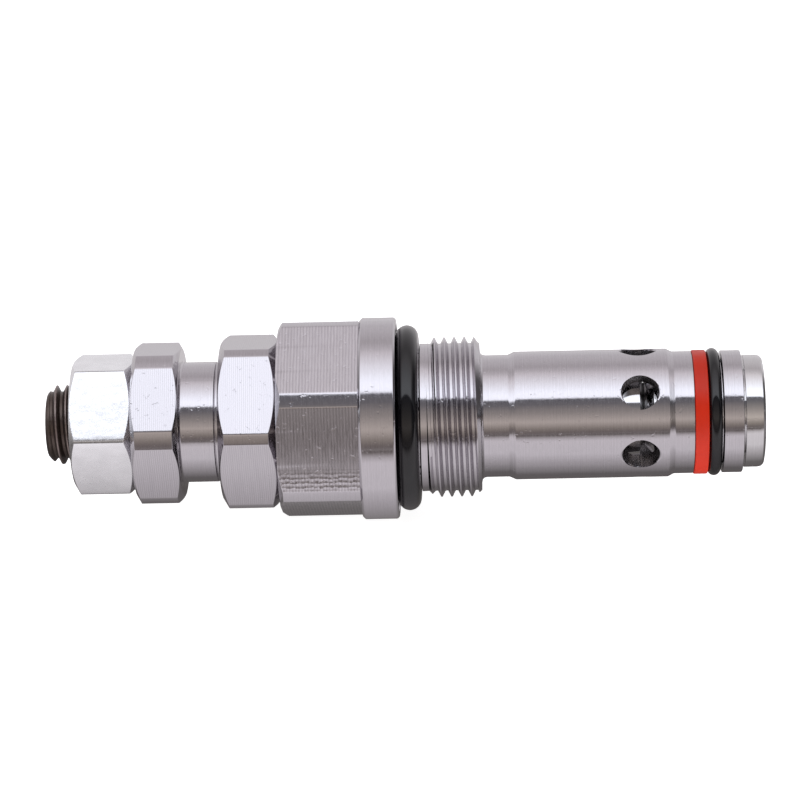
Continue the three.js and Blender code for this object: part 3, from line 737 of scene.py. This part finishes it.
def drill(bm, origin, way, profile, drilled):
    """A closed cutter round the line from an origin along a way. A profile point is (how far along, radius),
    and the first `drilled` steps of the profile leave a drilled wall and the rest a turned one."""
    count = 48
    along = way.normalized()
    side = along.orthogonal().normalized()
    other = along.cross(side)
    rings = []
    for height, size in profile:
        ring = []
        for share in even_angles(count):
            spot = origin + along * height + (side * math.cos(share) + other * math.sin(share)) * size
            ring.append(bm.verts.new(spot * MM))
        rings.append(ring)
    for step, (near, far) in enumerate(zip(rings, rings[1:])):
        for i in range(count):
            j = (i + 1) % count
            face = bm.faces.new((near[i], near[j], far[j], far[i]))
            face.material_index = DRILLED if step < drilled else TURNED
            face.smooth = True


def hole_cutter(radius, sleeve):
    """What the six tank holes, with their rounded lips, and the drain drilling take out of the body."""
    bm = bmesh.new()
    inside = GUIDE_BORE - 1.2
    outside = sleeve + 0.6
    lip = 0.42
    profile = [
        (inside, 0),
        (inside, radius),
        (sleeve - lip - 0.12, radius),
        (sleeve - lip * 0.55, radius + 0.05),
        (sleeve - lip * 0.2, radius + 0.17),
        (sleeve, radius + 0.4),
        (outside, radius + 1.2),
        (outside, 0),
    ]
    for turn in HOLE_ANGLES:
        angle = math.radians(turn)
        out = Vector((0, -math.cos(angle), math.sin(angle)))
        drill(bm, Vector((HOLE_STATION, 0, 0)), out, profile, drilled=2)
    start, end, drain = DRAIN_DRILLING
    way = Vector(end) - Vector(start)
    drill(bm, Vector(start), way, [(0, 0), (0, drain), (way.length, drain), (way.length, 0)], drilled=3)
    return mesh_object(bm, "hole_cutter")


class VALVE_OT_body(bpy.types.Operator):
    """Builds the body with its hexagon, collar, cavity thread, drilled sleeve and nose."""

    bl_idname = "valve.body"
    bl_label = "Body"

    def execute(self, context):
        sizes = context.scene.valve_sizes
        finishes = [lathe_turned_steel(), coarse_milled_steel(), drilled_steel_and_painted_shade()]
        piece = mesh_object(build_body(), "cartridge_body", finishes)
        cut(piece, hole_cutter(sizes.tank_hole / 2 / MM, sizes.sleeve / 2 / MM))
        fit(piece, "body", "valve_body")
        return {"FINISHED"}


class VALVE_OT_adjusters(bpy.types.Operator):
    """Builds the outer adjuster, the inner adjusting screw and their two lock nuts."""

    bl_idname = "valve.adjusters"
    bl_label = "Adjusters and lock nuts"

    def execute(self, context):
        shapes = hexagons()
        self.adjuster(shapes["adjuster"])
        steel = [lathe_turned_steel(), face_milled_steel()]
        node = "adjuster_lock_nut"
        piece = self.nut("lock_nut_24", node, shapes["lock_nut"], ADJUSTER_THREAD_RADIUS, steel)
        fit(piece, node, node)
        zinc = [bright_zinc_plating(), bright_zinc_plating(), dark_zinc_corner_band()]
        node = "screw_lock_nut"
        piece = self.nut("zinc_lock_nut", node, shapes["screw_nut"], SCREW_THREAD_RADIUS, zinc)
        fit(piece, node, node)
        self.screw()
        return {"FINISHED"}

    def adjuster(self, shape):
        """The outer adjuster: its hexagon, its barrel with a marking groove, its thread and its nose."""
        left, right = ADJUSTER_HEX
        end = span("adjuster")[1]
        nut_left = span("adjuster_lock_nut")[0]
        thread_start = nut_left + 0.3
        thread_end = -12.5
        relief = 7.9
        nose_left, nose = ADJUSTER_NOSE
        bore_left, bore_right, piston_bore = PISTON_BORE
        spring_bore = 4.2
        thread_bore = SCREW_THREAD_RADIUS + THREAD_GAP
        root = ADJUSTER_THREAD_RADIUS - THREAD_DEPTH
        angles = shape.angles()
        bm = bmesh.new()

        def head(angle):
            return rounded(
                [
                    (bore_left, thread_bore, 0, TURNED),
                    (left + 0.5, thread_bore, 0, TURNED),
                    (left, thread_bore + 0.5, 0.05, TURNED),
                    *shape.corners(angle, left, right),
                    (right, ADJUSTER_BARREL + 0.25, 0.05, TURNED),
                    (right + 0.25, ADJUSTER_BARREL, 0.1, TURNED),
                    (nut_left - 0.75, ADJUSTER_BARREL, 0.04, TURNED),
                    (nut_left - 0.6, ADJUSTER_BARREL - 0.14, 0.04, TURNED),
                    (nut_left - 0.45, ADJUSTER_BARREL, 0.04, TURNED),
                    (nut_left - 0.1, ADJUSTER_BARREL, 0.1, TURNED),
                    (thread_start, root, 0, TURNED),
                ]
            )

        spin(bm, head, angles, closed=False)
        spin_thread(bm, thread_start, thread_end, ADJUSTER_THREAD_RADIUS, angles)
        groove = -9.2
        groove_floor = 5.5
        tail = [
            (thread_end, root, 0, TURNED),
            (thread_end, relief, 0, TURNED),
            (nose_left, relief, 0, TURNED),
            (nose_left, nose, 0, TURNED),
            (groove, nose, 0.05, TURNED),
            (groove, groove_floor, 0.1, TURNED),
            (groove + SEAL_GROOVE, groove_floor, 0.1, TURNED),
            (groove + SEAL_GROOVE, nose, 0.05, TURNED),
            (end, nose, 0.3, TURNED),
            (end, spring_bore, 0.1, TURNED),
            (bore_right, spring_bore, 0, TURNED),
            (bore_right, piston_bore, 0, TURNED),
            (bore_left, piston_bore, 0, TURNED),
            (bore_left, thread_bore, 0, TURNED),
        ]
        spin(bm, turned(tail, closed=False), angles, closed=False)
        piece = mesh_object(bm, "outer_adjuster", [lathe_turned_steel(), face_milled_steel()])
        fit(piece, "adjuster", "adjuster")

    def nut(self, name, node, shape, thread_radius, finishes):
        """A hexagon nut with a chamfer at both mouths of its bore."""
        left, right = span(node)
        bore = thread_radius + THREAD_GAP
        bm = bmesh.new()

        def outline(angle):
            return rounded(
                [
                    (left + MOUTH, bore, 0, TURNED),
                    (left, bore + MOUTH, 0.06, TURNED),
                    *shape.corners(angle, left, right),
                    (right, bore + MOUTH, 0.06, TURNED),
                    (right - MOUTH, bore, 0, TURNED),
                ],
                closed=True,
            )

        spin(bm, outline, shape.angles())
        return mesh_object(bm, name, finishes)

    def screw(self):
        """The inner adjusting screw, with a hexagon socket in its end and a sealed nose."""
        left, right = span("adjusting_screw")
        thread_start = left + 0.25
        thread_end = -33
        socket = Hexagon(flats=6, corner=3.4, face=3.4, angle=10)
        depth = 6
        drill_point = 1.4
        mouth = 3.6
        angles = even_angles(144)
        root = SCREW_THREAD_RADIUS - THREAD_DEPTH
        bm = bmesh.new()

        def end_face(angle):
            reach = min(socket.to_flat(angle), socket.corner)
            return rounded(
                [
                    (left + depth + drill_point, 0, 0, TURNED),
                    (left + depth, reach, 0, TURNED),
                    (left + 0.4, reach, 0, TURNED),
                    (left, mouth, 0.08, TURNED),
                    (left, root - 0.3, 0.12, TURNED),
                    (thread_start, root, 0, TURNED),
                ]
            )

        spin(bm, end_face, angles, closed=False)
        spin_thread(bm, thread_start, thread_end, SCREW_THREAD_RADIUS, angles)
        groove = -31
        groove_floor = 3.05
        tail = [
            (thread_end, root, 0, TURNED),
            (thread_end, SCREW_NOSE, 0, TURNED),
            (groove, SCREW_NOSE, 0.05, TURNED),
            (groove, groove_floor, 0.1, TURNED),
            (groove + SEAL_GROOVE, groove_floor, 0.1, TURNED),
            (groove + SEAL_GROOVE, SCREW_NOSE, 0.05, TURNED),
            (right, SCREW_NOSE, 0.3, TURNED),
            (right, 0, 0, TURNED),
        ]
        spin(bm, turned(tail, closed=False), angles, closed=False)
        piece = mesh_object(bm, "black_adjusting_screw", [blackened_screw_steel()])
        fit(piece, "adjusting_screw", "adjusting_screw", sharp=50)


class VALVE_OT_seals(bpy.types.Operator):
    """Builds the O-rings and the back-up ring that show on the outside."""

    bl_idname = "valve.seals"
    bl_label = "Seals"

    def execute(self, context):
        self.o_ring("mouth_o_ring", "collar_o_ring")
        self.o_ring("nose_seal", "nose_o_ring")
        self.backup_ring()
        return {"FINISHED"}

    def backup_ring(self):
        """The flat ring that keeps the nose O-ring out of the gap beside it."""
        left, right = span("nose_backup_ring")
        inner = NOSE_GROOVE[2] + 0.05
        outer = width("nose_backup_ring") / 2 / MM
        ring = [
            (left, inner, 0.1, TURNED),
            (left, outer, 0.22, TURNED),
            (right, outer, 0.22, TURNED),
            (right, inner, 0.1, TURNED),
        ]
        bm = bmesh.new()
        spin(bm, turned(ring), even_angles())
        piece = mesh_object(bm, "orange_backup_ring", [moulded_polyurethane()])
        fit(piece, "body", "nose_backup_ring")

    def o_ring(self, name, node):
        """A round cord with the mould's parting line standing out a little, inside and outside."""
        left, right = span(node)
        cord = (right - left) / 2
        middle = width(node) / 2 / MM - cord
        sides = 32
        flash = 0.012
        outline = []
        for side in range(sides):
            angle = 2 * math.pi * side / sides
            size = cord + (flash if side in (sides // 4, 3 * sides // 4) else 0)
            spot = ((left + right) / 2 + size * math.cos(angle), middle + size * math.sin(angle), TURNED)
            outline.append(spot)
        bm = bmesh.new()
        spin(bm, lambda angle: outline, even_angles())
        fit(mesh_object(bm, name, [moulded_nitrile()]), "body", node)


def coil(left, right, mean_radius, wire, active_turns):
    """A compression spring between two stations: wire of that radius, with a closed turn at each end."""
    end_turns = 1
    turns = active_turns + 2 * end_turns
    closed_pitch = 2.1 * wire
    open_pitch = (right - left - 2 * wire - 2 * closed_pitch) / active_turns
    steps = 40
    sides = 14
    bm = bmesh.new()
    rings = []
    for step in range(turns * steps + 1):
        turn = step / steps
        opened = min(max(turn - end_turns, 0), active_turns)
        middle = left + wire + (turn - opened) * closed_pitch + opened * open_pitch
        ring = []
        for side in range(sides):
            share = 2 * math.pi * side / sides
            reach = mean_radius + wire * math.sin(share)
            ring.append(bm.verts.new(place(middle + wire * math.cos(share), reach, 2 * math.pi * turn)))
        rings.append(ring)
    for here, there in zip(rings, rings[1:]):
        for i in range(sides):
            j = (i + 1) % sides
            bm.faces.new((here[i], here[j], there[j], there[i])).smooth = True
    bm.faces.new(rings[0])
    bm.faces.new(rings[-1])
    return bm


class VALVE_OT_springs(bpy.types.Operator):
    """Builds the two coil springs."""

    bl_idname = "valve.springs"
    bl_label = "Springs"

    def execute(self, context):
        ends = ("body", "main_poppet")
        self.spring("soft_main_spring", "main_spring", ends, mean_radius=3.4, wire=0.6, active_turns=6)
        ends = ("boost_piston", "adjuster")
        self.spring("stiff_pilot_spring", "pilot_spring", ends, mean_radius=3.05, wire=0.75, active_turns=4)
        return {"FINISHED"}

    def spring(self, name, node, ends, mean_radius, wire, active_turns):
        """A coil spring in its CAD place. The ends argument is not used."""
        left, right = span(node)
        bm = coil(left, right, mean_radius, wire, active_turns)
        piece = mesh_object(bm, name, [dark_spring_wire_and_painted_shade()])
        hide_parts(node)
        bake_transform(piece)


class VALVE_OT_main_stage(bpy.types.Operator):
    """Builds the main seat in the nose and the main poppet that shows through the tank holes."""

    bl_idname = "valve.main_stage"
    bl_label = "Main seat and poppet"

    def execute(self, context):
        self.seat()
        self.poppet()
        return {"FINISHED"}

    def seat(self):
        """The seat: a shank pressed into the nose, and a flange whose bevelled end the oil comes in at."""
        left, right = span("main_seat")
        flange, outer = SEAT_FLANGE
        bevel = 0.3
        funnel = 1.3
        seat = [
            (left, INLET_RADIUS, 0, TURNED),
            (left, INLET_RADIUS + bevel, 0.05, TURNED),
            (left + SEAT_SHANK - INLET_RADIUS - bevel, SEAT_SHANK, 0.05, TURNED),
            (flange, SEAT_SHANK, 0, TURNED),
            (flange, outer, 0.1, TURNED),
            (right, outer, 0.95, TURNED),
            (right, INLET_RADIUS + funnel, 0.1, TURNED),
            (right - funnel, INLET_RADIUS, 0.1, TURNED),
        ]
        bm = bmesh.new()
        spin(bm, turned(seat), even_angles())
        fit(mesh_object(bm, "inlet_seat", [ground_hard_steel()]), "body", "main_seat")

    def poppet(self):
        """The main poppet: a hollow piston with oil grooves and a cone, whose dark finish is painted shade."""
        left = span("main_poppet")[0]
        right = POPPET_END
        pocket = right - 5.4
        cone = 5.15
        tip = 3.1
        orifice = 2.05
        deep = 0.3
        wide = 0.4
        grooves = [
            (start + across, POPPET_RADIUS - down, 0.03, TURNED)
            for start in (left + 3, left + 6, left + 9)
            for across, down in ((0, 0), (0, deep), (wide, deep), (wide, 0))
        ]
        poppet = [
            (left, POPPET_BORE, 0, TURNED),
            (left, POPPET_RADIUS, 0.3, TURNED),
            *grooves,
            (right, POPPET_RADIUS, 0.1, TURNED),
            # The cone faces take the dark spring-wire finish as painted shade.
            (right, cone, 0.05, MILLED),
            (right + cone - tip, tip, 0.1, MILLED),
            (right + cone - tip, orifice, 0.05, TURNED),
            (pocket, orifice, 0, TURNED),
            (pocket, POPPET_BORE, 0, TURNED),
        ]
        bm = bmesh.new()
        spin(bm, turned(poppet), even_angles())
        piece = mesh_object(bm, "hollow_main_poppet", [ground_hard_steel(), dark_spring_wire_and_painted_shade()])
        fit(piece, "main_poppet", "main_poppet")


class VALVE_OT_inner_pieces(bpy.types.Operator):
    """Gives the pieces that stay hidden inside the valve their finishes."""

    bl_idname = "valve.inner_pieces"
    bl_label = "Inner pieces"

    def execute(self, context):
        finishes = {
            "damping_orifice": ground_hard_steel,
            "pilot_seat": ground_hard_steel,
            "pilot_poppet": ground_hard_steel,
            "boost_piston": ground_hard_steel,
            "pilot_seat_o_ring": moulded_nitrile,
            "boost_piston_o_ring": moulded_nitrile,
            "adjuster_o_ring": moulded_nitrile,
            "adjusting_screw_o_ring": moulded_nitrile,
        }
        for node, surface_finish in finishes.items():
            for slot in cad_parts[node].material_slots:
                slot.material = surface_finish()
        return {"FINISHED"}


# ---- Studio -------------------------------------------------------------------------------------------

# Brightness of the studio by the angle of a direction in degrees, from level in front of the valve (0) over
# the top (90) to level behind it (180), and under it in the same way as negative angles.
STUDIO = [
    (-180, "#E6E3E6"),
    (-30, "#D8D4D6"),
    (-12, "#A9A2A0"),
    (-8, "#7A7170"),
    (0, "#A0968F"),
    (12, "#D6CBC3"),
    (28, "#ABA39F"),
    (44, "#7E7B7E"),
    (51, "#706F75"),
    (53.5, "#7A797F"),
    (54.5, "#F4F7FF"),
    (70, "#F4F7FF"),
    (105, "#E8E2E6"),
    (122, "#C9C3C6"),
    (140, "#D8D3D6"),
    (180, "#E6E3E6"),
]
# The softbox starts sharply at its near edge, is at its brightest up to the next angle and fades by the last.
SOFTBOX = (54.0, 64.0, 112.0)
SOFTBOX_GAIN = 0.82
# Brightness of the floor that the metal mirrors, by how many millimetres it lies behind the valve's axis. The
# valve's own shadow is painted on it, as the dark stops round the axis.
FLOOR_GLOW_AND_PAINTED_SHADOW = [
    (-95, "#4A4342"),
    (-75, "#958D8C"),
    (-60, "#CDC7C9"),
    (-45, "#F0EAEE"),
    (-20, "#EBE6EA"),
    (-12, "#C2BDC0"),
    (-4, "#767272"),
    (8, "#5A5655"),
    (20, "#8A8686"),
    (45, "#D8D4D6"),
]
FLOOR_GAP = 0.1 * MM  # how far the floor is below the valve
TABLE_REACH = 1.5  # metres from the middle of the floor to its edges
MIRROR_REACH = 0.6


def tones(tree, value, unit, stops):
    """The colour at a value along a list of (place, hex colour), whose places count in the given unit."""
    low, high = stops[0][0], stops[-1][0]
    share = add(tree, "ShaderNodeMapRange", spread(value, low * unit, high * unit, 0.0, 1.0))
    ramp = add(tree, "ShaderNodeValToRGB", {0: share.outputs[0]})
    elements = ramp.color_ramp.elements
    while len(elements) > 1:
        elements.remove(elements[-1])
    elements[0].position = 0.0
    elements[0].color = linear(stops[0][1])
    for place_of_stop, code in stops[1:]:
        elements.new((place_of_stop - low) / (high - low)).color = linear(code)
    return ramp.outputs[0]


class VALVE_OT_studio(bpy.types.Operator):
    """Sets the pale floor, the soft studio light and the camera."""

    bl_idname = "valve.studio"
    bl_label = "Studio"

    def execute(self, context):
        scene = context.scene
        scene.view_settings.view_transform = "Standard"
        self.light(scene)
        self.floor()
        self.camera(scene)
        return {"FINISHED"}

    def light(self, scene):
        """A tent of light round the valve, with a lit backdrop, a softbox and a dark part of the room."""
        world = bpy.data.worlds.new("studio_tent")
        scene.world = world
        world.use_nodes = True
        tree = world.node_tree
        tree.nodes.clear()
        way = add(tree, "ShaderNodeTexCoord").outputs["Generated"]
        split = add(tree, "ShaderNodeSeparateXYZ", {0: way})
        front = add(tree, "ShaderNodeMath", {0: split.outputs["Y"], 1: -1.0}, operation="MULTIPLY")
        angle = add(tree, "ShaderNodeMath", {0: split.outputs["Z"], 1: front.outputs[0]}, operation="ARCTAN2")
        colour = tones(tree, angle.outputs[0], math.radians(1), STUDIO)
        left = add(tree, "ShaderNodeMapRange", spread(split.outputs["X"], -0.95, -0.7, 0.45, 1.0))
        right = add(tree, "ShaderNodeMapRange", spread(split.outputs["X"], 0.68, 0.88, 1.0, 0.15))
        falling = add(tree, "ShaderNodeMath", {0: left.outputs[0], 1: right.outputs[0]}, operation="MULTIPLY")
        near, full, far = (math.radians(degrees) for degrees in SOFTBOX)
        inside = add(tree, "ShaderNodeMath", {0: angle.outputs[0], 1: near}, operation="GREATER_THAN")
        fading = add(tree, "ShaderNodeMapRange", spread(angle.outputs[0], full, far, SOFTBOX_GAIN, 0.0))
        sockets = {0: inside.outputs[0], 1: fading.outputs[0], 2: 1.0}
        strength = add(tree, "ShaderNodeMath", sockets, operation="MULTIPLY_ADD")
        sockets = {0: strength.outputs[0], 1: falling.outputs[0]}
        total = add(tree, "ShaderNodeMath", sockets, operation="MULTIPLY")
        tent = add(tree, "ShaderNodeBackground", {"Color": colour, "Strength": total.outputs[0]})
        backdrop = add(tree, "ShaderNodeBackground", {"Color": (1, 1, 1, 1), "Strength": 1.0})
        seen = add(tree, "ShaderNodeLightPath").outputs["Is Camera Ray"]
        mixed = add(tree, "ShaderNodeMixShader", {0: seen, 1: tent.outputs[0], 2: backdrop.outputs[0]})
        add(tree, "ShaderNodeOutputWorld", {"Surface": mixed.outputs[0]})

    def sheet(self, name, low, high, height, material):
        """A level sheet between two corners."""
        bm = bmesh.new()
        corners = [(low[0], low[1]), (high[0], low[1]), (high[0], high[1]), (low[0], high[1])]
        bm.faces.new([bm.verts.new((x, y, height)) for x, y in corners])
        made = mesh_object(bm, name, [material])
        return made

    def floor(self):
        """The pale floor, lit from within as a light table, and what of it the metal mirrors."""
        height = CAD_BOX[0][2] - FLOOR_GAP
        acrylic, _, shader = blank_material("white_acrylic")
        shader.inputs["Base Color"].default_value = (0.8, 0.8, 0.8, 1)
        shader.inputs["Roughness"].default_value = 0.6
        shader.inputs["Emission Color"].default_value = (1, 1, 1, 1)
        shader.inputs["Emission Strength"].default_value = 0.9
        near, far = (-TABLE_REACH, -TABLE_REACH), (TABLE_REACH, TABLE_REACH)
        table = self.sheet("pale_floor", near, far, height, acrylic)
        table.visible_glossy = False
        # The mirrored floor glows by these stops, with the valve's shadow painted into them round its axis.
        fading, tree = empty_material("floor_glow_and_painted_shadow")
        where = add(tree, "ShaderNodeTexCoord").outputs["Object"]
        depth = add(tree, "ShaderNodeSeparateXYZ", {0: where}).outputs["Y"]
        glow = add(tree, "ShaderNodeEmission", {"Color": tones(tree, depth, MM, FLOOR_GLOW_AND_PAINTED_SHADOW), "Strength": 1.0})
        add(tree, "ShaderNodeOutputMaterial", {"Surface": glow.outputs[0]})
        near, far = (-MIRROR_REACH, FLOOR_GLOW_AND_PAINTED_SHADOW[0][0] * MM), (MIRROR_REACH, MIRROR_REACH)
        mirrored = self.sheet("mirrored_floor", near, far, height, fading)
        mirrored.visible_camera = False
        mirrored.visible_diffuse = False
        mirrored.visible_shadow = False

    def camera(self, scene):
        """The camera, a little to the inlet's side of the middle and rolled by about two degrees."""
        height = scene.valve_sizes.camera_height
        distance = 493 * MM
        aside = 13.44 * MM
        up = Vector((0, math.sin(height), math.cos(height)))
        right = 0.36 * MM
        above = 2.66 * MM
        target = Vector((right, 0, 0)) + up * above
        place_at = target + Vector((aside, -math.cos(height) * distance, math.sin(height) * distance))
        data = bpy.data.cameras.new("studio_camera")
        data.lens = 148.5
        data.sensor_width = 36
        data.clip_start = 10 * MM
        camera = bpy.data.objects.new("studio_camera", data)
        bpy.context.collection.objects.link(camera)
        aim = (target - place_at).to_track_quat("-Z", "Y")
        roll = Quaternion((0, 0, 1), math.radians(-1.9))
        camera.location = place_at
        camera.rotation_euler = (aim @ roll).to_euler()
        scene.camera = camera


class VALVE_PT_panel(bpy.types.Panel):
    """Lists the pieces of the valve in the 3D view's sidebar."""

    bl_label = "Relief valve cartridge"
    bl_idname = "VALVE_PT_panel"
    bl_space_type = "VIEW_3D"
    bl_region_type = "UI"
    bl_category = "Valve"

    def draw(self, context):
        for group in (context.scene.valve_sizes, context.scene.valve_colours):
            for name in group.__annotations__:
                self.layout.prop(group, name)
        for operator in OPERATORS:
            self.layout.operator(operator.bl_idname)


OPERATORS = [
    VALVE_OT_body,
    VALVE_OT_adjusters,
    VALVE_OT_seals,
    VALVE_OT_springs,
    VALVE_OT_main_stage,
    VALVE_OT_inner_pieces,
    VALVE_OT_studio,
]
CLASSES = [ValveSizes, ValveColours, *OPERATORS, VALVE_PT_panel]


def register():
    """Registers the classes and hangs the properties on the scene."""
    for cls in CLASSES:
        bpy.utils.register_class(cls)
    bpy.types.Scene.valve_sizes = bpy.props.PointerProperty(type=ValveSizes)
    bpy.types.Scene.valve_colours = bpy.props.PointerProperty(type=ValveColours)


def unregister():
    """Takes the properties and the classes away again."""
    del bpy.types.Scene.valve_colours
    del bpy.types.Scene.valve_sizes
    for cls in reversed(CLASSES):
        bpy.utils.unregister_class(cls)


def main():
    """Builds every piece and the studio."""
    register()
    bpy.ops.valve.body()
    bpy.ops.valve.adjusters()
    bpy.ops.valve.seals()
    bpy.ops.valve.springs()
    bpy.ops.valve.main_stage()
    bpy.ops.valve.inner_pieces()
    bpy.ops.valve.studio()


if __name__ == "__main__":
    main()
